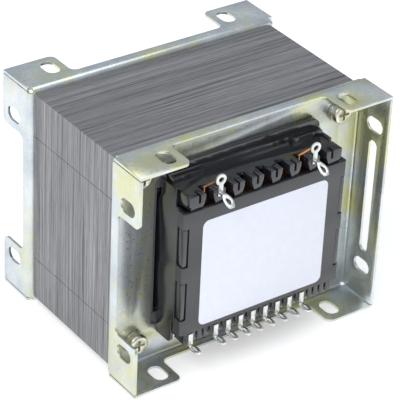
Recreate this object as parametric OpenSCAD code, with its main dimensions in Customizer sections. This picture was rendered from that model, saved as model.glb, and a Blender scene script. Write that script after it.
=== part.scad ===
// Chassis transformer with an interleaved E-I lamination core, two pressed end
// frames, a moulded coil former with solder tags, and clip-on coil covers.
// X runs left to right, Y from the front (tags and label) to the rear, Z up.
// The origin is the centre of the surface that the transformer stands on.

/* [Core] */
// Width of the lamination stack
core_w = 120; // [112:1:130]
// Height of the lamination stack
core_h = 100; // [94:1:110]
// Thickness of the lamination stack, front to rear
stack = 60; // [50:1:72]
// Width of a yoke and of an outer leg
leg_w = 20; // [18:0.5:22]
// Width of one winding window
window_w = 20; // [19.5:0.5:22]
// Number of interleaved lamination packets
packets = 20; // [10:2:30]
// Gap between neighbouring packets
packet_gap = 0.06; // [0.04:0.01:0.1]
// Gap in the butt joint between an E and its I
joint_gap = 0.1; // [0.05:0.01:0.3]

/* [End frames] */
// Thickness of the frame's steel sheet
sheet = 1.2; // [1:0.1:1.5]
// How far the frame stands out past the core's edge
frame_margin = 2.5; // [1.5:0.1:4]
// Depth of a flange, from the core's face to its free edge
flange_depth = 21; // [19:0.5:26]
// Inside radius of the bends
bend_r = 1; // [0.6:0.1:1.5]
// Depth of the narrow strip between two ears, from the core's face
strip_depth = 5.5; // [4.5:0.5:8]
// Length of an ear along the frame's edge
ear_len = 24; // [22:0.5:26]
// Radius of the ear's inner corner and of its root
ear_r = 3; // [1.5:0.5:4]
// Length of an ear's slot
slot_l = 10; // [7:0.5:12]
// Width of an ear's slot
slot_w = 6.5; // [5:0.1:7.5]
// Distance of a slot's centre from the frame's corner
slot_corner = 17.5; // [16:0.5:18.5]
// Distance of a slot's centre from the core's face
slot_out = 12.5; // [11:0.5:13.5]
// Length of the long slot in the right flange
long_slot_l = 55; // [20:1:58]
// Width of the long slot in the right flange
long_slot_w = 5; // [3:0.5:6]
// Gap at the corners, between a side flange and the flanges over it
corner_gap = 0.5; // [0.3:0.1:1]
// Width that the plate's opening leaves clear beside the coil former
opening_side = 2.2; // [1.5:0.1:4]
// Height that the plate's opening leaves clear above and below the shelf
opening_over = 0.7; // [0.4:0.1:2]
// Radius of the opening's corners
opening_r = 3; // [1:0.5:5]

/* [Clamping screws] */
// Diameter of the screw's shank
screw_d = 5; // [4:0.5:6]
// Clearance of the shank in the frame's hole
screw_clear = 0.5; // [0.3:0.1:1]
// Diameter of the pan head
head_d = 9.5; // [9:0.5:11]
// Height of the pan head
head_h = 3.6; // [3:0.1:4.5]
// Rounding of the pan head's edge
head_round = 1.4; // [1:0.1:2]
// Length of an arm of the head's cross recess
recess_l = 2.6; // [2:0.1:3]
// Width of an arm of the head's cross recess
recess_w = 1.1; // [0.8:0.1:1.4]
// Depth of the head's cross recess
recess_h = 2; // [1:0.1:2.2]
// Outer diameter of a washer
washer_d = 10; // [9.5:0.5:12]
// Thickness of a washer
washer_t = 1; // [0.8:0.1:1.5]
// Width of the nut across its flats
nut_af = 8; // [7:0.5:10]
// Height of the nut
nut_h = 4; // [3:0.5:5]
// Length of thread that stands out past the nut
thread_out = 3; // [1:0.5:6]
// Wall of the insulating sleeve round the shank
sleeve_wall = 0.5; // [0.4:0.1:0.8]
// Running clearance between shank, sleeve and core
sleeve_clear = 0.15; // [0.1:0.05:0.3]

/* [Coil former] */
// Clearance between the former and the core
former_clear = 0.4; // [0.2:0.1:0.6]
// Wall of the former's tube
tube_wall = 1.5; // [1:0.1:2]
// Thickness of the former's webs and ribs
web = 1.6; // [1.2:0.1:2]
// Height of a terminal shelf above the winding window's edge
shelf_rise = 5; // [4:0.1:6]
// Depth of the shelf in front of the core's face, up to the comb
shelf_out = 13.5; // [12.5:0.5:14.5]
// Distance of a comb's face from the core's face
comb_out = 19.9; // [19:0.1:22]
// How far a comb stands out past the shelf's side
comb_over = 0.8; // [0.4:0.1:1.2]
// Height of the undercut below a comb's end block
undercut_h = 2; // [1:0.1:3]
// Depth of the undercut below a comb's end block
undercut_in = 0.8; // [0.4:0.1:2]
// Number of teeth of the upper comb between its end blocks
teeth = 6; // [4:1:6]
// Distance from an end block's slot to the comb's end
end_block = 5; // [4.5:0.1:6]
// Width of an upper tooth at its head
tooth_w = 5.8; // [5:0.1:6.2]
// Width of an upper tooth at its foot
tooth_foot = 3; // [2.4:0.1:4]
// Height of a tooth's straight head
tooth_head = 2; // [1:0.1:3]
// Width of the slot that holds a tag
tag_slot_w = 1.1; // [1:0.1:1.2]
// Height of the slot in an upper tooth
tag_slot_h = 3.6; // [3.5:0.1:5]
// Depth of the slot in an upper tooth
tag_slot_d = 3.6; // [3.5:0.1:5]
// Distance from the lower comb's last slot to its end
low_end = 3.2; // [3:0.1:5]
// Number of slots of the lower comb
low_slots = 23; // [21:1:23]
// Height of the bar that joins the lower comb's teeth behind the cover's edge
low_bar_h = 0.4; // [0.3:0.1:1]
// Height of the upstand over the upper shelf
upstand_h = 6; // [5:0.5:8]
// Height of the step at the upstand's foot
step_h = 2.5; // [1.5:0.1:3]
// How far the upstand reaches out over each side plate
upstand_over = 1.3; // [0.5:0.1:1.5]
// Thickness of the upstand
upstand_t = 2.4; // [1.5:0.1:3]
// How far the step stands out in front of the upstand
step_out = 1; // [0.6:0.1:1.4]
// Length of the ribbed end of the step
rib_l = 15; // [10:1:20]
// Depth of the groove along the ribbed end
rib_groove = 0.8; // [0.4:0.1:1.2]

/* [Coil] */
// Radial thickness of the primary winding
primary_t = 6.4; // [5.5:0.1:6.4]
// Radial thickness of the insulation between the windings
insulation_t = 0.5; // [0.3:0.1:0.5]
// Radial thickness of the secondary winding
secondary_t = 7.8; // [6.5:0.1:7.8]
// Thickness of the outer wrap
wrap_t = 0.5; // [0.3:0.1:0.5]
// Gap between layers of the coil
layer_gap = 0.05; // [0.03:0.01:0.1]
// Gap between the coil's ends and the former's flanges
end_gap = 0.3; // [0.1:0.1:0.6]

/* [Covers] */
// Wall of a coil cover
cover_wall = 1.7; // [1.4:0.1:1.7]
// Distance of a cover's outer face from the core's face
cover_out = 20.6; // [20.4:0.1:22]
// Depth of a cover's side skirts
skirt_depth = 4.8; // [4:0.1:8]
// Wall of a side skirt
skirt_wall = 1.6; // [1.2:0.1:1.8]
// Radius of a cover's upright edges
cover_r = 1; // [0.6:0.1:1.1]
// How far a cover reaches up past the upper end of the coil's space
cover_lap = 0.6; // [0.3:0.1:1]
// How far a cover reaches down past the lower end of the coil's space
cover_drop = 1.9; // [1:0.1:3]
// Height of a latch window
latch_h = 18.2; // [12:0.2:19]
// Width of a latch window
latch_w = 2.7; // [2.4:0.1:3.2]
// Distance between the two latch windows' centres
latch_pitch = 25.8; // [22:0.2:28]
// Thickness of a side plate
side_plate_t = 1.5; // [1:0.1:1.6]
// Depth of a side plate's ears, from the core's face to their edge
side_ear_out = 11.8; // [9:0.1:13]
// How far a side plate's ears stand up past the upper shelf
side_ear_rise = 0.5; // [0.2:0.1:1.5]
// How far a side plate's ears reach down past the lower shelf
side_ear_drop = 3.9; // [1:0.1:6]
// Radius of the ears' lower corners
side_ear_r = 2.5; // [1:0.5:4]
// Clearance between a latch tongue and its window
latch_clear = 0.4; // [0.2:0.1:0.7]
// General clearance between parts of the coil assembly
fit = 0.2; // [0.1:0.05:0.3]

/* [Label] */
// Width of the label
label_w = 63; // [40:1:68]
// Height of the label
label_h = 50.5; // [30:0.5:54]
// Radius of the label's corners
label_r = 3; // [1:0.5:5]
// Thickness of the label
label_t = 0.15; // [0.1:0.05:0.3]
// How far the label's middle lies below the cover's
label_drop = 1.9; // [0:0.1:2.4]

/* [Solder tags] */
// Thickness of a tag's sheet
tag_t = 0.7; // [0.5:0.05:0.8]
// Width of a tag's strip
tag_w = 2.2; // [1.8:0.1:2.4]
// Diameter of a primary tag's upper eyelet
eyelet_d = 5; // [4.2:0.1:5.5]
// Diameter of the hole in an upper eyelet
eyelet_hole = 2.4; // [2:0.1:2.8]
// Height of the upper eyelet's centre over the shelf
eyelet_rise = 4.7; // [3:0.1:5.5]
// How far a primary tag's arm stands out before it turns down
arm_out = 2.4; // [1.8:0.1:3.5]
// Angle of a primary tag's loop below the horizontal
arm_tilt = 28; // [10:1:60]
// Width of a primary tag's loop
front_loop_w = 4.2; // [3.6:0.1:4.6]
// Width of the hole in a primary tag's loop
front_loop_hole = 1.8; // [1.4:0.1:2.2]
// Length of a tag's loop
loop_l = 6.2; // [5.5:0.1:7]
// Width of a secondary tag's loop
loop_w = 3.2; // [3:0.1:3.6]
// Width of the hole in a secondary tag's loop
loop_hole = 1.3; // [1:0.1:1.6]
// Length of the neck between a secondary tag's strip and its loop
loop_neck = 0.6; // [0.3:0.1:2]
// How far a secondary tag reaches below the lower comb
tag_drop = 1.7; // [1.5:0.1:3]
// Length of the prong that holds a tag in its slot
prong_l = 3.2; // [2.5:0.1:3.4]
// Height of the prong
prong_h = 2.6; // [2:0.1:3]
// Swelling of a lead wire where it turns, as a share of its diameter
wire_bend = 1.06; // [1.02:0.01:1.1]
// Diameter of a primary lead wire
primary_wire = 0.9; // [0.6:0.1:1.2]
// Diameter of a secondary lead wire
secondary_wire = 1.3; // [1:0.1:1.6]

/* [Hidden] */
$fn = 48;
BOTH = [-1, 1];

// Core and frame
frame_w = core_w + 2 * frame_margin;
frame_h = core_h + 2 * frame_margin;
mid_z = frame_h / 2;
face_y = stack / 2;
centre_leg = core_w - 2 * leg_w - 2 * window_w;
window_h = core_h - 2 * leg_w;
packet_pitch = stack / packets;
packet_t = packet_pitch - packet_gap;
bolt_x = core_w / 2 - leg_w / 2;
bolt_z = core_h / 2 - leg_w / 2;
sleeve_in_d = screw_d + 2 * sleeve_clear;
sleeve_out_d = sleeve_in_d + 2 * sleeve_wall;
core_hole_d = sleeve_out_d + 2 * sleeve_clear;
bend_out = bend_r + sheet;
plate_y = face_y + sheet;
nut_y = plate_y + washer_t;
screw_l = 2 * nut_y + nut_h + thread_out;

// Coil layers: distances from the former's tube outwards
primary_in = layer_gap;
primary_out = primary_in + primary_t;
insulation_in = primary_out + layer_gap;
insulation_out = insulation_in + insulation_t;
secondary_in = insulation_out + layer_gap;
secondary_out = secondary_in + secondary_t;
wrap_in = secondary_out + layer_gap;
wrap_out = wrap_in + wrap_t;

// Coil former; heights are measured up and down from the core's centre
flange_x = centre_leg / 2 + window_w - former_clear;
leg_x = centre_leg / 2 + former_clear;
leg_y = face_y + former_clear;
tube_x = leg_x + tube_wall;
tube_y = leg_y + tube_wall;
flange_z = window_h / 2 - former_clear;
coil_z = flange_z - web;
shelf_z = window_h / 2 + shelf_rise;
side_in = tube_x + wrap_out + fit;
side_out = side_in + side_plate_t;
shelf_x = side_in - fit;
shelf_y = face_y + shelf_out;
comb_x = shelf_x + comb_over;
comb_y = face_y + comb_out;
upstand_y = plate_y + fit;
step_y = upstand_y + upstand_t;
step_face = step_y + step_out;
opening_x = flange_x + opening_side;
opening_z = shelf_z + opening_over;

// Covers, and the side plates' ears that stand past the shelves
cover_x = side_out + fit + skirt_wall;
cover_y = face_y + cover_out;
cover_in_y = cover_y - cover_wall;
cover_top_z = coil_z + cover_lap;
cover_low_z = -coil_z - cover_drop;
cover_mid_z = (cover_top_z + cover_low_z) / 2;
foot_z = cover_top_z + fit;
low_foot_z = cover_low_z - fit;
ear_top_z = shelf_z + side_ear_rise;

// Solder tags
primary_slots = [1, teeth];
secondary_slots = [0, 4, 6, 8, 10, 12, 14, 16, 18];
tooth_pitch = 2 * (comb_x - end_block) / (teeth + 1);
low_pitch = 2 * (comb_x - low_end) / (low_slots - 1);
tag_y = comb_y + fit / 4;
strip_y = tag_y + tag_t;
low_strip_z = low_foot_z - low_bar_h - fit / 4;
eyelet_z = shelf_z + eyelet_rise;
arm_z = shelf_z - tag_t;
tag_foot_z = -shelf_z - tag_drop;
low_lead_y = tube_y + (2 * secondary_in + secondary_out) / 3;
top_lead_y = tube_y + (primary_in + primary_out) / 2;

function tooth_x(i) = (i - (teeth + 1) / 2) * tooth_pitch;
function low_slot_x(i) = (i - (low_slots - 1) / 2) * low_pitch;

// ---- helpers ----

// An outline in X and Z, height 0 at the core's centre, extruded along Y
module upright(from_y, to_y) {
    translate([0, to_y, mid_z]) rotate([90, 0, 0]) linear_extrude(to_y - from_y) children();
}

// The same shape at the front and, mirrored, at the rear
module front_and_rear() {
    for (turn = [0, 1]) mirror([0, turn, 0]) children();
}

// A block between two opposite corners, height 0 at the core's centre
module block(low, high) {
    translate([low.x, low.y, low.z + mid_z]) cube(high - low);
}

// A place for each of the four clamping screws
module at_bolts() {
    for (sx = BOTH, sz = BOTH) translate([sx * bolt_x, 0, mid_z + sz * bolt_z]) children();
}

// A cylinder along Y, from one y to the other
module bar_y(d, from_y, to_y) {
    translate([0, to_y, 0]) rotate([90, 0, 0]) cylinder(d = d, h = to_y - from_y);
}

// What a rounding of radius r leaves of a square corner at the origin, towards +X and -Y
module corner_rest(r) {
    difference() {
        translate([0, -r]) square(r);
        translate([r, -r]) circle(r);
    }
}

// A rectangle about the origin with rounded corners
module rounded_rect(w, h, r) {
    square([w - 2 * r, h], center = true);
    square([w, h - 2 * r], center = true);
    for (sx = BOTH, sy = BOTH) translate([sx * (w / 2 - r), sy * (h / 2 - r)]) circle(r);
}

// A slot with round ends about the origin, its length along Y
module slot(length, width) {
    square([width, length - width], center = true);
    for (s = BOTH) translate([0, s * (length - width) / 2]) circle(d = width);
}

// A lens with pointed ends about the origin, its length along Y
module lens(length, width) {
    r = (pow(length, 2) + pow(width, 2)) / (4 * width);
    intersection() {
        translate([r - width / 2, 0]) circle(r);
        translate([width / 2 - r, 0]) circle(r);
    }
}

// A wire through a list of points, slightly swollen where it turns
module wire(points, d) {
    last = len(points) - 1;
    translate([0, 0, mid_z]) {
        for (i = [1 : last]) {
            run = points[i] - points[i - 1];
            translate(points[i - 1]) rotate([0, acos(run.z / norm(run)), atan2(run.y, run.x)])
                cylinder(d = d, h = norm(run), $fn = 24);
        }
        for (i = [1 : last - 1]) translate(points[i]) sphere(d = wire_bend * d, $fn = 24);
    }
}

// ---- core ----

module bolt_hole_outlines() {
    for (sx = BOTH, sz = BOTH) translate([sx * bolt_x, sz * bolt_z]) circle(d = core_hole_d);
}

// An E with its yoke on top and its three legs down
module e_outline() {
    foot = -core_h / 2 + leg_w + joint_gap;
    difference() {
        translate([-core_w / 2, foot]) square([core_w, core_h / 2 - foot]);
        for (s = BOTH)
            translate([s * (centre_leg + window_w) / 2 - window_w / 2, foot])
                square([window_w, window_h - joint_gap]);
        bolt_hole_outlines();
    }
}

// The I that closes the E's legs
module i_outline() {
    difference() {
        translate([-core_w / 2, -core_h / 2]) square([core_w, leg_w]);
        bolt_hole_outlines();
    }
}

// Every second packet is turned upside down, so that the joints interleave
module packets() {
    for (i = [0 : packets - 1]) {
        from_y = -face_y + i * packet_pitch + packet_gap / 2;
        upright(from_y, from_y + packet_t) mirror([0, i % 2]) children();
    }
}

module e_laminations() { color("#8c8b90") packets() e_outline(); }
module i_laminations() { color("#96959a") packets() i_outline(); }

// ---- end frames ----

// Where the slots lie along a flange of this edge length
module at_slots(edge) {
    for (s = BOTH) translate([s * (edge / 2 - slot_corner), slot_out]) children();
}

// A flange laid flat: X along the edge, Y out from the core's face; it ends
// at +-half, and its ears are measured from the corners of the whole edge
module eared_flange(edge, half) {
    root = edge / 2 - ear_len;
    difference() {
        union() {
            translate([-half, bend_out]) square([2 * half, strip_depth - bend_out]);
            for (turn = [0, 1]) mirror([turn, 0]) {
                difference() {
                    translate([root, bend_out]) square([half - root, flange_depth - bend_out]);
                    translate([root, flange_depth]) corner_rest(ear_r);
                }
                translate([root, strip_depth]) rotate(180) corner_rest(ear_r);
            }
        }
        at_slots(edge) slot(slot_l, slot_w);
    }
}

// A flange of full depth, with a long slot between the two short ones
module full_flange(edge, half) {
    difference() {
        translate([-half, bend_out]) square([2 * half, flange_depth - bend_out]);
        at_slots(edge) slot(slot_l, slot_w);
        translate([0, slot_out]) rotate(90) slot(long_slot_l, long_slot_w);
    }
}

// A quarter of a bend's section, outside edges towards +X and +Y
module bend_section() {
    intersection() {
        difference() {
            circle(bend_out);
            circle(bend_r);
        }
        square(bend_out);
    }
}

// Turns a flange laid flat into an upright side flange against the plane x = 0
module stand_flange() {
    rotate([0, -90, 0]) linear_extrude(sheet) mirror([0, 1]) children();
}

module end_frame() {
    bend_x = frame_w / 2 - bend_out;
    bend_z = frame_h / 2 - bend_out;
    side_half = frame_h / 2 - sheet - corner_gap;
    // plate against the core
    upright(-plate_y, -face_y) difference() {
        square([2 * bend_x, 2 * bend_z], center = true);
        rounded_rect(2 * opening_x, 2 * opening_z, opening_r);
        for (sx = BOTH, sz = BOTH)
            translate([sx * bolt_x, sz * bolt_z]) circle(d = screw_d + screw_clear);
    }
    // top and bottom flanges with their bends
    for (turn = [0, 1]) translate([0, -face_y, mid_z]) mirror([0, 0, turn]) {
        translate([0, 0, frame_h / 2 - sheet])
            linear_extrude(sheet) mirror([0, 1]) eared_flange(frame_w, frame_w / 2);
        translate([-bend_x, -bend_out, bend_z])
            rotate([90, 0, 90]) linear_extrude(2 * bend_x) bend_section();
    }
    // left flange, eared, and right flange, of full depth
    translate([-frame_w / 2 + sheet, -face_y, mid_z])
        stand_flange() eared_flange(frame_h, side_half);
    translate([frame_w / 2, -face_y, mid_z])
        stand_flange() full_flange(frame_h, side_half);
    for (turn = [0, 1]) mirror([turn, 0, 0])
        translate([bend_x, -face_y - bend_out, mid_z - bend_z])
            linear_extrude(2 * bend_z) bend_section();
}

module front_frame() { color("#b4bcc0") end_frame(); }

// The same pressing, turned over about the X axis
module rear_frame() {
    color("#aab2b6") translate([0, 0, mid_z]) rotate([180, 0, 0]) translate([0, 0, -mid_z])
        end_frame();
}

// ---- clamping screws ----

module pan_head_section() {
    square([head_d / 2 - head_round, head_h]);
    square([head_d / 2, head_h - head_round]);
    translate([head_d / 2 - head_round, head_h - head_round])
        intersection() { circle(head_round); square(head_round); }
}

module cross_recess() {
    for (turn = [0, 90]) rotate(turn)
        translate([-recess_l, -recess_w / 2, head_h - recess_h])
            cube([2 * recess_l, recess_w, recess_h + 1]);
}

// One pan-head screw along +Y, its bearing face at y = 0
module screw() {
    bar_y(screw_d, 0, screw_l);
    rotate([90, 0, 0]) difference() {
        rotate_extrude() pan_head_section();
        cross_recess();
    }
}

module washer(from_y) {
    difference() {
        bar_y(washer_d, from_y, from_y + washer_t);
        bar_y(screw_d + screw_clear, from_y - 1, from_y + washer_t + 1);
    }
}

module screws() { color("#c8c6b8") at_bolts() translate([0, -nut_y, 0]) screw(); }
module front_washers() { color("#9a9c98") at_bolts() washer(-nut_y); }
module rear_washers() { color("#9a9c98") at_bolts() washer(plate_y); }

module nuts() {
    color("#bfc1ba") at_bolts() difference() {
        translate([0, nut_y + nut_h, 0]) rotate([90, 0, 0])
            cylinder(d = nut_af / cos(30), h = nut_h, $fn = 6);
        bar_y(screw_d + fit / 2, nut_y - 1, nut_y + nut_h + 1);
    }
}

module screw_sleeves() {
    color("#d8d2b8") at_bolts() difference() {
        bar_y(sleeve_out_d, -face_y, face_y);
        bar_y(sleeve_in_d, -face_y - 1, face_y + 1);
    }
}

// ---- coil former ----

// One tooth of the upper comb: a straight head and a tapering foot
module tooth_outline() {
    polygon([[-tooth_w / 2, shelf_z], [tooth_w / 2, shelf_z],
        [tooth_w / 2, shelf_z - tooth_head], [tooth_foot / 2, foot_z],
        [-tooth_foot / 2, foot_z], [-tooth_w / 2, shelf_z - tooth_head]]);
}

// The block at the comb's right end, undercut on its outer side
module end_block_outline() {
    inner = tooth_x(teeth + 1) - tooth_w / 2;
    inner_foot = tooth_x(teeth + 1) - tooth_foot / 2;
    polygon([[inner, shelf_z], [comb_x, shelf_z], [comb_x, foot_z + undercut_h],
        [comb_x - undercut_in, foot_z + undercut_h], [comb_x - undercut_in, foot_z],
        [inner_foot, foot_z], [inner, shelf_z - tooth_head]]);
}

module upper_comb() {
    difference() {
        upright(-comb_y, -shelf_y) {
            for (i = [1 : teeth]) translate([tooth_x(i), 0]) tooth_outline();
            for (turn = [0, 1]) mirror([turn, 0]) end_block_outline();
        }
        for (i = [0 : teeth + 1])
            block([tooth_x(i) - tag_slot_w / 2, -comb_y - 1, shelf_z - tag_slot_h],
                [tooth_x(i) + tag_slot_w / 2, -comb_y + tag_slot_d, shelf_z + 1]);
    }
}

module lower_comb() {
    difference() {
        block([-comb_x, -comb_y, -shelf_z], [comb_x, -shelf_y, low_foot_z]);
        for (i = [0 : low_slots - 1])
            block([low_slot_x(i) - tag_slot_w / 2, -comb_y - 1, -shelf_z - 1],
                [low_slot_x(i) + tag_slot_w / 2, -shelf_y, low_foot_z - low_bar_h]);
    }
}

// A hollow shelf on the coil's end flange, open towards the comb
module shelf() {
    // inner web, outer web and back wall
    block([-shelf_x, -shelf_y, coil_z], [shelf_x, -face_y, flange_z]);
    block([-shelf_x, -shelf_y, shelf_z - web], [shelf_x, -leg_y, shelf_z]);
    block([-shelf_x, -leg_y - web, flange_z], [shelf_x, -leg_y, shelf_z]);
    // ribs behind the teeth, and the two end walls
    for (i = [1 : teeth])
        block([tooth_x(i) - web / 2, -shelf_y, flange_z], [tooth_x(i) + web / 2, -leg_y, shelf_z]);
    for (s = BOTH)
        block([s * (shelf_x - web / 2) - web / 2, -shelf_y, flange_z],
            [s * (shelf_x - web / 2) + web / 2, -leg_y, shelf_z]);
}

// A wall over the upper shelf, close in front of the frame's plate, with a
// step along its foot that has a groove at both ends
module upstand() {
    groove = step_out / 2;
    half = shelf_x + upstand_over;
    over_z = ear_top_z + fit;
    upright(-step_y, -upstand_y) {
        translate([-shelf_x, shelf_z - web]) square([2 * shelf_x, over_z + web - shelf_z]);
        difference() {
            translate([-half, over_z]) square([2 * half, shelf_z + upstand_h - over_z]);
            for (turn = [0, 1]) mirror([turn, 0])
                translate([-half, shelf_z + upstand_h]) corner_rest(opening_r);
        }
    }
    block([-shelf_x, -step_face, shelf_z - web], [shelf_x, -step_y, shelf_z + step_h]);
    for (turn = [0, 1]) mirror([turn, 0, 0]) difference() {
        block([shelf_x - rib_l, -step_face - 2 * groove - web, shelf_z - web],
            [shelf_x, -step_face, shelf_z + step_h]);
        block([shelf_x - rib_l + web, -step_face - 2 * groove, shelf_z + step_h - rib_groove],
            [shelf_x - web, -step_face - groove, shelf_z + step_h + 1]);
    }
}

// Where the windings' ends pass through the former's webs
module lead_holes() {
    for (i = primary_slots)
        translate([tooth_x(i) - tooth_pitch / 2, -top_lead_y, mid_z + coil_z - 1])
            cylinder(d = primary_wire + 2 * fit, h = web + 2);
    for (i = secondary_slots)
        translate([low_slot_x(i), -low_lead_y, mid_z - shelf_z - 1])
            cylinder(d = secondary_wire + 2 * fit, h = shelf_z - coil_z + 2);
}

module coil_former() {
    color("#26262b") difference() {
        union() {
            difference() {
                union() {
                    block([-tube_x, -tube_y, -flange_z], [tube_x, tube_y, flange_z]);
                    for (turn = [0, 1]) translate([0, 0, mid_z]) mirror([0, 0, turn])
                        translate([0, 0, -mid_z])
                            block([-flange_x, -face_y, coil_z], [flange_x, face_y, flange_z]);
                }
                block([-leg_x, -leg_y, -flange_z - 1], [leg_x, leg_y, flange_z + 1]);
            }
            front_and_rear() {
                shelf();
                translate([0, 0, mid_z]) mirror([0, 0, 1]) translate([0, 0, -mid_z]) shelf();
                upstand();
                upper_comb();
                lower_comb();
            }
        }
        lead_holes();
    }
}

// ---- coil ----

// A closed ring of the coil between two distances from the former's tube
module coil_ring(inside, outside) {
    height = 2 * (coil_z - end_gap);
    translate([0, 0, mid_z - height / 2]) linear_extrude(height) difference() {
        rounded_rect(2 * (tube_x + outside), 2 * (tube_y + outside), outside);
        rounded_rect(2 * (tube_x + inside), 2 * (tube_y + inside), inside);
    }
}

module primary_winding() { color("#b5622d") coil_ring(primary_in, primary_out); }
module winding_insulation() { color("#d9c46a") coil_ring(insulation_in, insulation_out); }
module secondary_winding() { color("#c9713a") coil_ring(secondary_in, secondary_out); }
module outer_wrap() { color("#2e2e30") coil_ring(wrap_in, wrap_out); }

// ---- covers ----

// The windows at a cover's upright edges, open to the side
module at_latches() {
    for (s = BOTH) translate([0, 0, s * latch_pitch / 2 + cover_mid_z]) children();
}

// A side plate lies between coil and core; in front of and behind the core it
// has ears that close the shelves' ends, and tongues that latch into the covers
module side_plate() {
    end_y = cover_in_y - fit;
    half_z = coil_z - fit;
    tongue_z = latch_h / 2 - latch_clear;
    tongue_in = cover_x - latch_w + latch_clear;
    ear_depth = face_y + side_ear_out - upstand_y;
    block([side_in, -end_y, -half_z], [side_out, end_y, half_z]);
    front_and_rear() {
        translate([side_in, -face_y - side_ear_out, mid_z - shelf_z - side_ear_drop])
            rotate([90, 0, 90]) linear_extrude(side_plate_t) difference() {
                square([ear_depth, ear_top_z + shelf_z + side_ear_drop]);
                mirror([0, 1]) corner_rest(side_ear_r);
            }
        at_latches()
            block([tongue_in, -cover_y + latch_clear, -tongue_z],
                [cover_x - latch_clear, -cover_in_y + latch_w - latch_clear, tongue_z]);
    }
}

module right_side_plate() { color("#4a4a50") side_plate(); }
module left_side_plate() { color("#4a4a50") mirror([1, 0, 0]) side_plate(); }

module coil_cover() {
    difference() {
        union() {
            block([-cover_x + cover_r, -cover_y, cover_low_z],
                [cover_x - cover_r, -cover_in_y, cover_top_z]);
            for (turn = [0, 1]) mirror([turn, 0, 0]) {
                block([cover_x - skirt_wall, -cover_y + cover_r, cover_low_z],
                    [cover_x, -cover_y + skirt_depth, cover_top_z]);
                translate([cover_x - cover_r, -cover_y + cover_r, mid_z + cover_low_z])
                    cylinder(r = cover_r, h = cover_top_z - cover_low_z);
            }
        }
        at_latches() for (turn = [0, 1]) mirror([turn, 0, 0])
            block([cover_x - latch_w, -cover_y - 1, -latch_h / 2],
                [cover_x + 1, -cover_in_y + latch_w, latch_h / 2]);
    }
}

module front_cover() { color("#5c5c66") coil_cover(); }
module rear_cover() { color("#5c5c66") mirror([0, 1, 0]) coil_cover(); }

module label() {
    color("#eceef6") upright(-cover_y - label_t, -cover_y)
        translate([0, cover_mid_z - label_drop]) rounded_rect(label_w, label_h, label_r);
}

// ---- solder tags ----

// The prong at a tag's back, its upper edge at the given height
module prong(top) {
    block([-tag_t / 2, -tag_y, top - prong_h], [tag_t / 2, -tag_y + prong_l, top]);
}

// A pointed loop of the given width, its front end towards -Y, on a neck
// that reaches back to the origin
module loop_outline(width, hole, neck) {
    translate([0, -neck - loop_l / 2]) difference() {
        intersection() {
            lens(loop_l + width / 2, width);
            square([width, loop_l], center = true);
        }
        lens(loop_l - tag_w, hole);
    }
    translate([-tag_w / 2, -neck - tag_t]) square([tag_w, neck + tag_t]);
}

// A primary tag: an upper eyelet for the winding's end and a front loop for
// the customer's wire, with a prong that sits in the tooth's slot
module primary_tag(i) {
    turn_z = arm_z - tag_t;
    translate([tooth_x(i), 0, 0]) {
        prong(shelf_z - fit);
        block([-tag_w / 2, -strip_y, shelf_z - prong_h - fit], [tag_w / 2, -tag_y, eyelet_z - eyelet_hole]);
        translate([0, -tag_y, mid_z + eyelet_z]) rotate([90, 0, 0]) linear_extrude(tag_t)
            difference() {
                union() {
                    circle(d = eyelet_d);
                    translate([-tag_w / 2, -eyelet_d / 2]) square([tag_w, eyelet_d / 2]);
                }
                circle(d = eyelet_hole);
            }
        block([-tag_w / 2, -strip_y - arm_out, turn_z], [tag_w / 2, -tag_y, arm_z]);
        translate([0, -strip_y - arm_out, mid_z + turn_z]) {
            intersection() {
                rotate([0, 90, 0]) cylinder(r = tag_t, h = tag_w, center = true);
                translate([-tag_w / 2, -tag_t, 0]) cube([tag_w, tag_t, tag_t]);
            }
            rotate([arm_tilt, 0, 0]) linear_extrude(tag_t)
                loop_outline(front_loop_w, front_loop_hole, 0);
        }
    }
}

module primary_tag_1() { color("#c9c9c5") primary_tag(primary_slots[0]); }
module primary_tag_2() { color("#c9c9c5") primary_tag(primary_slots[1]); }

// A secondary tag: a strip below the cover and a pointed loop that stands out
module secondary_tag(i) {
    translate([low_slot_x(secondary_slots[i - 1]), 0, 0]) {
        prong(low_strip_z);
        block([-tag_w / 2, -strip_y, tag_foot_z], [tag_w / 2, -tag_y, low_strip_z]);
        translate([0, -strip_y + tag_t / 2, mid_z + tag_foot_z]) linear_extrude(tag_t)
            loop_outline(loop_w, loop_hole, loop_neck);
    }
}

module secondary_tag_1() { color("#c9c9c5") secondary_tag(1); }
module secondary_tag_2() { color("#c9c9c5") secondary_tag(2); }
module secondary_tag_3() { color("#c9c9c5") secondary_tag(3); }
module secondary_tag_4() { color("#c9c9c5") secondary_tag(4); }
module secondary_tag_5() { color("#c9c9c5") secondary_tag(5); }
module secondary_tag_6() { color("#c9c9c5") secondary_tag(6); }
module secondary_tag_7() { color("#c9c9c5") secondary_tag(7); }
module secondary_tag_8() { color("#c9c9c5") secondary_tag(8); }
module secondary_tag_9() { color("#c9c9c5") secondary_tag(9); }

// ---- lead wires ----

// From the primary winding through the inner web, out of the shelf beside the
// tooth and up to the back of the tag's upper eyelet
module primary_leads() {
    r = primary_wire / 2;
    start_z = coil_z - end_gap + r + layer_gap;
    cell_z = (flange_z + shelf_z - web) / 2;
    front_y = shelf_y + tooth_pitch / 4;
    color("#c46a2e") for (i = primary_slots) {
        x = tooth_x(i) - tooth_pitch / 2;
        wire([[x, -top_lead_y, start_z], [x, -top_lead_y, cell_z], [x, -front_y, cell_z],
            [x, -front_y, shelf_z + r], [tooth_x(i) - eyelet_hole / 2, -tag_y + r + layer_gap,
            eyelet_z]], primary_wire);
    }
}

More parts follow.
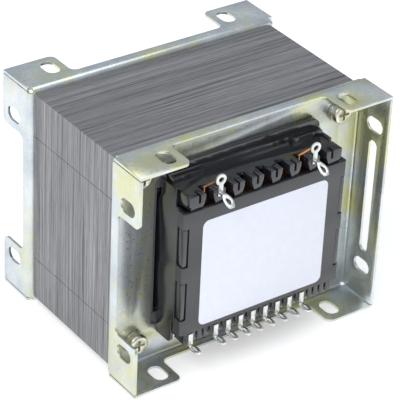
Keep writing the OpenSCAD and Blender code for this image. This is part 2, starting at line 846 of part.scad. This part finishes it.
// From the secondary winding down through the shelf and forward to the tag
module secondary_leads() {
    r = secondary_wire / 2;
    start_z = -coil_z + end_gap - r - layer_gap;
    under_z = -shelf_z - fit - r;
    color("#c46a2e") for (i = secondary_slots)
        wire([[low_slot_x(i), -low_lead_y, start_z], [low_slot_x(i), -low_lead_y, under_z],
            [low_slot_x(i), -tag_y + r + layer_gap, under_z]], secondary_wire);
}

e_laminations();
i_laminations();
front_frame();
rear_frame();
screws();
front_washers();
rear_washers();
nuts();
screw_sleeves();
coil_former();
primary_winding();
winding_insulation();
secondary_winding();
outer_wrap();
left_side_plate();
right_side_plate();
front_cover();
rear_cover();
label();
primary_tag_1();
primary_tag_2();
secondary_tag_1();
secondary_tag_2();
secondary_tag_3();
secondary_tag_4();
secondary_tag_5();
secondary_tag_6();
secondary_tag_7();
secondary_tag_8();
secondary_tag_9();
primary_leads();
secondary_leads();
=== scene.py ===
# %% [markdown]
# # A laminated chassis transformer
#
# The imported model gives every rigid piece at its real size: the stack of E and I
# laminations, two pressed end frames, four clamping screws, the moulded coil former
# with its combs, the coil, the clip-on covers, the label and the solder tags. This
# lesson dresses that model: each piece gets its finish, and the sheet, moulded and
# turned pieces get the small roundings that real edges have. Everything is in metres,
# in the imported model's frame: X to the right, Y to the rear, Z up, and the ground at
# zero.

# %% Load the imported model
import math

import bpy
from mathutils import Matrix, Vector


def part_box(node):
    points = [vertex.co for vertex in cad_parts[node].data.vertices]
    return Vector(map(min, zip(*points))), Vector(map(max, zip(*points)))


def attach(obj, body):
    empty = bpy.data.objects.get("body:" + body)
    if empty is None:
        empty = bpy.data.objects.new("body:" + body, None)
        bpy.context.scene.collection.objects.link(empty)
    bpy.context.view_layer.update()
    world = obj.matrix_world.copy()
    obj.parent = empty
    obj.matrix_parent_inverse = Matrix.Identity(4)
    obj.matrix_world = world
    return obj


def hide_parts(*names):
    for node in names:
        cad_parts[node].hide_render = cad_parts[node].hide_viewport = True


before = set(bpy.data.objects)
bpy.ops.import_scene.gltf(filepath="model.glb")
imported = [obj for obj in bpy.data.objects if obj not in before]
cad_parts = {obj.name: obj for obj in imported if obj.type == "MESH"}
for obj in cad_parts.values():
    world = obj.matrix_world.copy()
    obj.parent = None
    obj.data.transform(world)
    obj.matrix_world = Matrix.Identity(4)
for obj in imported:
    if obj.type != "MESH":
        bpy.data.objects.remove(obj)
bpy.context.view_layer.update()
MM = 0.001
print("CAD nodes:", len(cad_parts))

# %% [markdown]
# ## Camera
#
# The camera looks down on the corner between the left side and the front. It stands
# well back, with a long lens, so that upright edges stay nearly parallel. A small roll
# about its own axis finishes the view.

# %% Camera
AZIMUTH = math.radians(-36.77)
ELEVATION = math.radians(31.92)
ROLL = math.radians(2.81)
DISTANCE = 0.9187
AIM = Vector((1.52, -3.48, 49.49)) * MM
LENS_SHARE = 5.4083  # focal length as a share of the sensor's width
SENSOR = 36.0  # the sensor's width, in millimetres
FAR_CLIP = 20.0


def add_camera():
    """A long-lens camera that looks at AIM from the front left."""
    back = Vector((math.sin(AZIMUTH) * math.cos(ELEVATION),
                   -math.cos(AZIMUTH) * math.cos(ELEVATION),
                   math.sin(ELEVATION)))
    bpy.ops.object.camera_add(location=AIM + back * DISTANCE)
    camera = bpy.context.object
    camera.name = "camera"
    turn = (-back).to_track_quat("-Z", "Y").to_matrix() @ Matrix.Rotation(ROLL, 3, "Z")
    camera.rotation_euler = turn.to_euler()
    camera.data.sensor_width = SENSOR
    camera.data.lens = LENS_SHARE * SENSOR
    camera.data.clip_end = FAR_CLIP
    bpy.context.scene.camera = camera
    return camera


print("camera:", add_camera().name)

# %% [markdown]
# ## Light and floor
#
# Bright sheet metal shows what stands round it. A white floor, a grey room and two
# large soft lamps give it white sides, grey tops and dark hollows, as in a plain
# studio tent.

# %% Floor, world and lamps
FLOOR_SIZE = 8.0
FLOOR_WHITE = (0.93, 0.93, 0.93, 1)
FLOOR_ROUGHNESS = 0.9
FLOOR_GLOSS = 0.1
FLOOR_GLOW = 0.35
ROOM_GREY = (0.80, 0.86, 0.92)
ROOM_STRENGTH = 0.55
# Each lamp has its place, the side of its square in metres and its power in watts.
LAMPS = {
    "lamp_left": ((-1.3, -0.5, 1.3), 1.2, 16),
    "lamp_top": ((0.3, -0.2, 1.9), 1.6, 12),
}


def add_floor():
    """A large pale sheet under the transformer."""
    bpy.ops.mesh.primitive_plane_add(size=FLOOR_SIZE, location=(0, 0, 0))
    floor = bpy.context.object
    floor.name = "floor"
    white = bpy.data.materials.new("floor_white")
    white.use_nodes = True
    paint = white.node_tree.nodes["Principled BSDF"]
    paint.inputs["Base Color"].default_value = FLOOR_WHITE
    paint.inputs["Roughness"].default_value = FLOOR_ROUGHNESS
    paint.inputs["Specular IOR Level"].default_value = FLOOR_GLOSS
    paint.inputs["Emission Color"].default_value = (1, 1, 1, 1)
    paint.inputs["Emission Strength"].default_value = FLOOR_GLOW
    floor.data.materials.append(white)


def add_lamp(name, spot, size, watts):
    """A square soft lamp at spot that faces the transformer's middle."""
    bpy.ops.object.light_add(type="AREA", location=spot)
    lamp = bpy.context.object
    lamp.name = name
    lamp.data.size = size
    lamp.data.energy = watts
    lamp.rotation_euler = (AIM - Vector(spot)).to_track_quat("-Z", "Y").to_euler()


def set_world(colour, strength):
    """An even grey room."""
    world = bpy.data.worlds.new("room")
    bpy.context.scene.world = world
    world.use_nodes = True
    room = world.node_tree.nodes["Background"]
    room.inputs["Color"].default_value = (*colour, 1)
    room.inputs["Strength"].default_value = strength


add_floor()
set_world(ROOM_GREY, ROOM_STRENGTH)
for lamp_name, (spot, size, watts) in LAMPS.items():
    add_lamp(lamp_name, spot, size, watts)
bpy.context.scene.view_settings.view_transform = "Standard"
print("floor, room and lamps are set")

# %% [markdown]
# ## Node helpers
#
# A finish is a Principled shader whose colour, roughness and bump follow procedural
# patterns on the object's own coordinates. Small helpers keep each finish short: they
# start a material, add a pattern, turn it into colours, mix two colours, work out
# numbers, make a bump and link the results to the shader.

# %% Node helpers


def finish(name, colour, roughness, metallic=0.0, **sockets):
    """A new material with its shader's plain values set."""
    material = bpy.data.materials.new(name)
    material.use_nodes = True
    shader = material.node_tree.nodes["Principled BSDF"]
    shader.inputs["Base Color"].default_value = (*colour, 1)
    shader.inputs["Roughness"].default_value = roughness
    shader.inputs["Metallic"].default_value = metallic
    for socket, value in sockets.items():
        shader.inputs[socket.replace("_", " ")].default_value = value
    return material, material.node_tree, shader


def add_node(tree, kind, **inputs):
    """A shader node with some of its sockets set or linked."""
    node = tree.nodes.new("ShaderNode" + kind)
    for socket, value in inputs.items():
        plug = node.inputs[socket.replace("_", " ")]
        if hasattr(value, "is_output"):
            tree.links.new(value, plug)
        else:
            plug.default_value = value
    return node


def place(tree, stretch=(1, 1, 1), offset=(0, 0, 0)):
    """Object coordinates, stretched by the given factors per metre."""
    coordinates = add_node(tree, "TexCoord").outputs["Object"]
    return add_node(tree, "Mapping", Vector=coordinates, Scale=stretch,
                    Location=offset).outputs["Vector"]


def noise(tree, stretch, detail=3.0, roughness=0.5, offset=(0, 0, 0)):
    """A noise pattern; stretch gives its grains per metre along X, Y and Z."""
    if not hasattr(stretch, "__len__"):
        stretch = (stretch,) * 3
    texture = add_node(tree, "TexNoise", Vector=place(tree, stretch, offset), Scale=1.0,
                       Detail=detail, Roughness=roughness)
    return texture.outputs["Fac"]


def ramp(tree, factor, *stops):
    """Colours or greys along a factor; each stop is a position and a value."""
    node = add_node(tree, "ValToRGB", Fac=factor)
    while len(node.color_ramp.elements) < len(stops):
        node.color_ramp.elements.new(0.5)
    for element, (position, value) in zip(node.color_ramp.elements, stops):
        element.position = position
        element.color = (*value, 1) if hasattr(value, "__len__") else (value,) * 3 + (1,)
    return node.outputs["Color"]


def mix(tree, factor, first, second, blend="MIX"):
    """Two colours mixed by a factor."""
    node = tree.nodes.new("ShaderNodeMix")
    node.data_type = "RGBA"
    node.blend_type = blend
    for plug, value in ((node.inputs[0], factor), (node.inputs[6], first),
                        (node.inputs[7], second)):
        if hasattr(value, "is_output"):
            tree.links.new(value, plug)
        else:
            plug.default_value = (*value, 1) if hasattr(value, "__len__") else value
    return node.outputs[2]


def calculate(tree, operation, first, second=0.0, third=0.0):
    """One step of arithmetic on sockets or numbers."""
    node = tree.nodes.new("ShaderNodeMath")
    node.operation = operation
    for plug, value in zip(node.inputs, (first, second, third)):
        if hasattr(value, "is_output"):
            tree.links.new(value, plug)
        else:
            plug.default_value = value
    return node.outputs[0]


def axis(tree, letter):
    """One of the object's own coordinates, in metres."""
    coordinates = add_node(tree, "TexCoord").outputs["Object"]
    return add_node(tree, "SeparateXYZ", Vector=coordinates).outputs[letter]


def bump(tree, shader, height, strength, depth):
    """A relief of the given depth in metres from a height pattern."""
    relief = add_node(tree, "Bump", Height=height, Strength=strength, Distance=depth)
    tree.links.new(relief.outputs["Normal"], shader.inputs["Normal"])


def colour_from(tree, shader, colour):
    """Links a colour to the shader."""
    tree.links.new(colour, shader.inputs["Base Color"])


def roughness_from(tree, shader, value):
    """Links a roughness to the shader."""
    tree.links.new(value, shader.inputs["Roughness"])


print("node helpers are ready")

# %% [markdown]
# ## Lamination steel
#
# The core's outside is the cut edges of more than a hundred sheets of half a
# millimetre. The sheets lie one behind another along Y, so each is a fine line along X
# on the top and along Z on the sides. One noise pattern that changes quickly along Y
# and slowly along the others makes the sheets, and a broader one makes groups of
# lighter and darker sheets. A thin dark line at each of the two joint heights is where
# the E and the I of a sheet meet.

# %% Lamination steel
CORE_LOW, CORE_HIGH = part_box("e_laminations")
YOKE = 20 * MM  # height of an I sheet, and so of each joint from top or bottom
JOINT_HALF = 0.16 * MM
SHEET_RELIEF = 0.1 * MM


def lamination_steel():
    """Edges of varnished electrical sheet, stacked along Y."""
    material, tree, shader = finish("lamination_steel", (0.3, 0.3, 0.32), 0.45, 0.55)
    sheets = noise(tree, (14, 1500, 14), detail=2.0, roughness=0.7)
    groups = noise(tree, (3, 260, 3), detail=2.0)
    flecks = noise(tree, (160, 1800, 160), detail=2.0)
    tone = ramp(tree, sheets, (0.28, (0.10, 0.095, 0.10)), (0.42, (0.27, 0.265, 0.275)),
                (0.62, (0.36, 0.355, 0.37)), (0.80, (0.50, 0.49, 0.50)))
    tone = mix(tree, 0.55, tone, ramp(tree, groups, (0.35, 0.55), (0.65, 1.0)), "MULTIPLY")
    tone = mix(tree, 0.35, tone, ramp(tree, flecks, (0.3, 0.45), (0.6, 1.0)), "MULTIPLY")
    height = axis(tree, "Z")
    low = calculate(tree, "COMPARE", height, CORE_LOW.z + YOKE, JOINT_HALF)
    high = calculate(tree, "COMPARE", height, CORE_HIGH.z - YOKE, JOINT_HALF)
    joint = calculate(tree, "MAXIMUM", low, high)
    tone = mix(tree, calculate(tree, "MULTIPLY", joint, 0.75), tone, (0.04, 0.035, 0.035))
    colour_from(tree, shader, tone)
    roughness_from(tree, shader, ramp(tree, sheets, (0.3, 0.6), (0.7, 0.35)))
    bump(tree, shader, sheets, 0.35, SHEET_RELIEF)
    return material


# %% [markdown]
# ## Zinc plate
#
# The end frames are pressed from zinc-plated sheet. Zinc is a pale blue-grey metal
# with soft clouds, and the thin passivation on it turns yellow-olive in patches. Fine
# grains in the roughness break up its reflections.

# %% Zinc plate
OLIVE = (0.70, 0.70, 0.44)
ZINC_RELIEF = 0.15 * MM


def zinc_plate(name, yellow):
    """Satin zinc; yellow says how much of it has turned olive."""
    material, tree, shader = finish(name, (0.7, 0.73, 0.75), 0.34, 0.9)
    clouds = noise(tree, 55, detail=5.0, roughness=0.6)
    patches = noise(tree, 38, detail=4.0, roughness=0.65, offset=(3, 1, 2))
    grains = noise(tree, 900, detail=2.0)
    tone = ramp(tree, clouds, (0.3, (0.52, 0.57, 0.60)), (0.7, (0.78, 0.81, 0.82)))
    olive = ramp(tree, patches, (0.62 - 0.3 * yellow, 0.0), (0.80 - 0.3 * yellow, 1.0))
    tone = mix(tree, olive, tone, OLIVE)
    colour_from(tree, shader, tone)
    roughness_from(tree, shader, ramp(tree, grains, (0.3, 0.26), (0.7, 0.46)))
    bump(tree, shader, clouds, 0.25, ZINC_RELIEF)
    return material


# %% [markdown]
# ## Plastics
#
# The former is glossy black polyamide under a coat of varnish. Covers and side plates
# are the same black with a finely eroded surface, which makes the covers satin and
# leaves the side plates a little shinier. A fine bump stands for the eroded grain.

# %% Plastics


def black_moulding(name, roughness, grain):
    """Black polyamide; grain is the depth of its eroded surface."""
    material, tree, shader = finish(name, (0.016, 0.016, 0.02), roughness, 0.0,
                                    Specular_IOR_Level=1.0)
    cloud = noise(tree, 120, detail=3.0)
    fine = noise(tree, 1600, detail=2.0)
    colour_from(tree, shader, ramp(tree, cloud, (0.3, (0.012, 0.012, 0.015)),
                                   (0.7, (0.024, 0.024, 0.029))))
    roughness_from(tree, shader, ramp(tree, cloud, (0.3, roughness - 0.04),
                                      (0.7, roughness + 0.04)))
    bump(tree, shader, fine, 0.3, grain)
    return material


# %% [markdown]
# ## Wires, tags and films
#
# Tinned tags, screws and washers are bare metals that differ in tone and shine, so one
# function makes them all. Tape, wrap, sleeves and the label are matt films with a faint
# mottle. The copper has a clear coat, as enamelled wire does.

# %% Wires, tags and films
FINE_RELIEF = 0.05 * MM


def bare_metal(name, dark, light, roughness, grain=400):
    """A metal whose tone wanders between dark and light."""
    material, tree, shader = finish(name, light, roughness, 1.0)
    cloud = noise(tree, grain, detail=3.0)
    colour_from(tree, shader, ramp(tree, cloud, (0.3, dark), (0.7, light)))
    roughness_from(tree, shader, ramp(tree, cloud, (0.3, roughness + 0.08),
                                      (0.7, roughness - 0.04)))
    bump(tree, shader, cloud, 0.2, FINE_RELIEF)
    return material


def film(name, dark, light, roughness, grain=300):
    """Paper, tape or a label: a matt tone with a faint mottle."""
    material, tree, shader = finish(name, light, roughness)
    cloud = noise(tree, grain, detail=4.0)
    colour_from(tree, shader, ramp(tree, cloud, (0.3, dark), (0.7, light)))
    bump(tree, shader, cloud, 0.1, FINE_RELIEF)
    return material


def enamelled_copper():
    """Copper wire under clear enamel."""
    material, tree, shader = finish("enamelled_copper", (0.85, 0.36, 0.12), 0.3, 1.0,
                                    Coat_Weight=0.6)
    cloud = noise(tree, 350, detail=2.0)
    colour_from(tree, shader, ramp(tree, cloud, (0.3, (0.60, 0.20, 0.05)),
                                   (0.7, (0.92, 0.42, 0.16))))
    return material


STEEL = lamination_steel()
ZINC_FRONT = zinc_plate("zinc_plate_front", 0.55)
ZINC_REAR = zinc_plate("zinc_plate_rear", 0.45)
FORMER = black_moulding("glossy_black_moulding", 0.14, 0.01 * MM)
COVER = black_moulding("satin_black_moulding", 0.42, 0.04 * MM)
PANEL = black_moulding("side_plate_moulding", 0.22, 0.02 * MM)
COPPER = enamelled_copper()
TINNED = bare_metal("tinned_tag", (0.62, 0.62, 0.60), (0.86, 0.86, 0.84), 0.3)
SCREW_STEEL = bare_metal("passivated_screw", (0.60, 0.58, 0.45), (0.84, 0.82, 0.72), 0.28)
WASHER_STEEL = bare_metal("washer_steel", (0.45, 0.45, 0.42), (0.68, 0.68, 0.64), 0.34)
SLEEVE = film("sleeve_paper", (0.6, 0.55, 0.42), (0.75, 0.70, 0.55), 0.8)
TAPE = film("yellow_tape", (0.62, 0.50, 0.16), (0.82, 0.70, 0.30), 0.4)
WRAP = film("dark_wrap", (0.02, 0.02, 0.02), (0.045, 0.04, 0.035), 0.4)
LABEL = film("label_film", (0.83, 0.84, 0.93), (0.86, 0.87, 0.96), 0.42)
print("finishes:", len(bpy.data.materials))

# %% [markdown]
# ## Broken edges
#
# No pressed, moulded or machined edge is perfectly sharp: a bright line along it comes
# from a tiny rounding. A copy of each CAD node has its triangles joined into whole
# faces and its edges bevelled by a fraction of a millimetre, and it is smoothed only
# below a set angle. The leads' copies are joined and smoothed the same way, but not
# bevelled, since the wire has no edges but its ends.

# %% Broken edges
SMOOTH_ANGLE = math.radians(35)
FLAT_ANGLE = math.radians(0.5)
MERGE_DISTANCE = 1e-6
EDGE_SEGMENTS = 2
SHEET_EDGE = 0.16 * MM
FORMER_EDGE = 0.12 * MM
MOULDED_EDGE = 0.2 * MM
SCREW_EDGE = 0.08 * MM
NUT_EDGE = 0.25 * MM
WASHER_EDGE = 0.12 * MM
LABEL_EDGE = 0.03 * MM
TAG_EDGE = 0.1 * MM
NO_EDGE = 0.0
PRIMARY_TAGS = 2
SECONDARY_TAGS = 9


def select_only(piece):
    """Makes one object the selected and active one, in object mode."""
    bpy.ops.object.select_all(action="DESELECT")
    piece.select_set(True)
    bpy.context.view_layer.objects.active = piece


def settle(piece, material):
    """Gives a piece its finish and lets it ride on the part."""
    piece.data.materials.clear()
    piece.data.materials.append(material)
    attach(piece, "root")
    return piece


def broken_edges(node, width, material):
    """A copy of a CAD node with rounded edges, which stands for it."""
    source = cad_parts[node]
    piece = bpy.data.objects.new(node + "_edged", source.data.copy())
    bpy.context.scene.collection.objects.link(piece)
    select_only(piece)
    bpy.ops.object.mode_set(mode="EDIT")
    bpy.ops.mesh.select_all(action="SELECT")
    bpy.ops.mesh.remove_doubles(threshold=MERGE_DISTANCE)
    bpy.ops.mesh.dissolve_limited(angle_limit=FLAT_ANGLE)
    bpy.ops.object.mode_set(mode="OBJECT")
    if width > 0:
        bevel = piece.modifiers.new("edges", "BEVEL")
        bevel.width = width
        bevel.segments = EDGE_SEGMENTS
        bevel.limit_method = "ANGLE"
        bevel.angle_limit = SMOOTH_ANGLE
        bevel.use_clamp_overlap = True
        bpy.ops.object.modifier_apply(modifier="edges")
    bpy.ops.object.shade_smooth_by_angle(angle=SMOOTH_ANGLE)
    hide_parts(node)
    return settle(piece, material)


EDGED = {
    "front_frame": (SHEET_EDGE, ZINC_FRONT),
    "rear_frame": (SHEET_EDGE, ZINC_REAR),
    "coil_former": (FORMER_EDGE, FORMER),
    "left_side_plate": (MOULDED_EDGE, PANEL),
    "right_side_plate": (MOULDED_EDGE, PANEL),
    "front_cover": (MOULDED_EDGE, COVER),
    "rear_cover": (MOULDED_EDGE, COVER),
    "screws": (SCREW_EDGE, SCREW_STEEL),
    "nuts": (NUT_EDGE, SCREW_STEEL),
    "front_washers": (WASHER_EDGE, WASHER_STEEL),
    "rear_washers": (WASHER_EDGE, WASHER_STEEL),
    "label": (LABEL_EDGE, LABEL),
    "primary_leads": (NO_EDGE, COPPER),
    "secondary_leads": (NO_EDGE, COPPER),
}
for number in range(1, PRIMARY_TAGS + 1):
    EDGED["primary_tag_%d" % number] = (TAG_EDGE, TINNED)
for number in range(1, SECONDARY_TAGS + 1):
    EDGED["secondary_tag_%d" % number] = (TAG_EDGE, TINNED)
for node, (width, material) in EDGED.items():
    piece = broken_edges(node, width, material)
    print(node, "faces:", len(piece.data.polygons))

# %% [markdown]
# The laminations, the sleeves and the coil's layers keep their CAD shapes. Their
# finishes go straight onto the CAD objects.

# %% Finishes on the CAD objects
PLAIN = {
    "e_laminations": STEEL,
    "i_laminations": STEEL,
    "screw_sleeves": SLEEVE,
    "primary_winding": COPPER,
    "winding_insulation": TAPE,
    "secondary_winding": COPPER,
    "outer_wrap": WRAP,
}
for node, material in PLAIN.items():
    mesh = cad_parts[node].data
    mesh.materials.clear()
    mesh.materials.append(material)
print("finished CAD objects:", len(PLAIN))
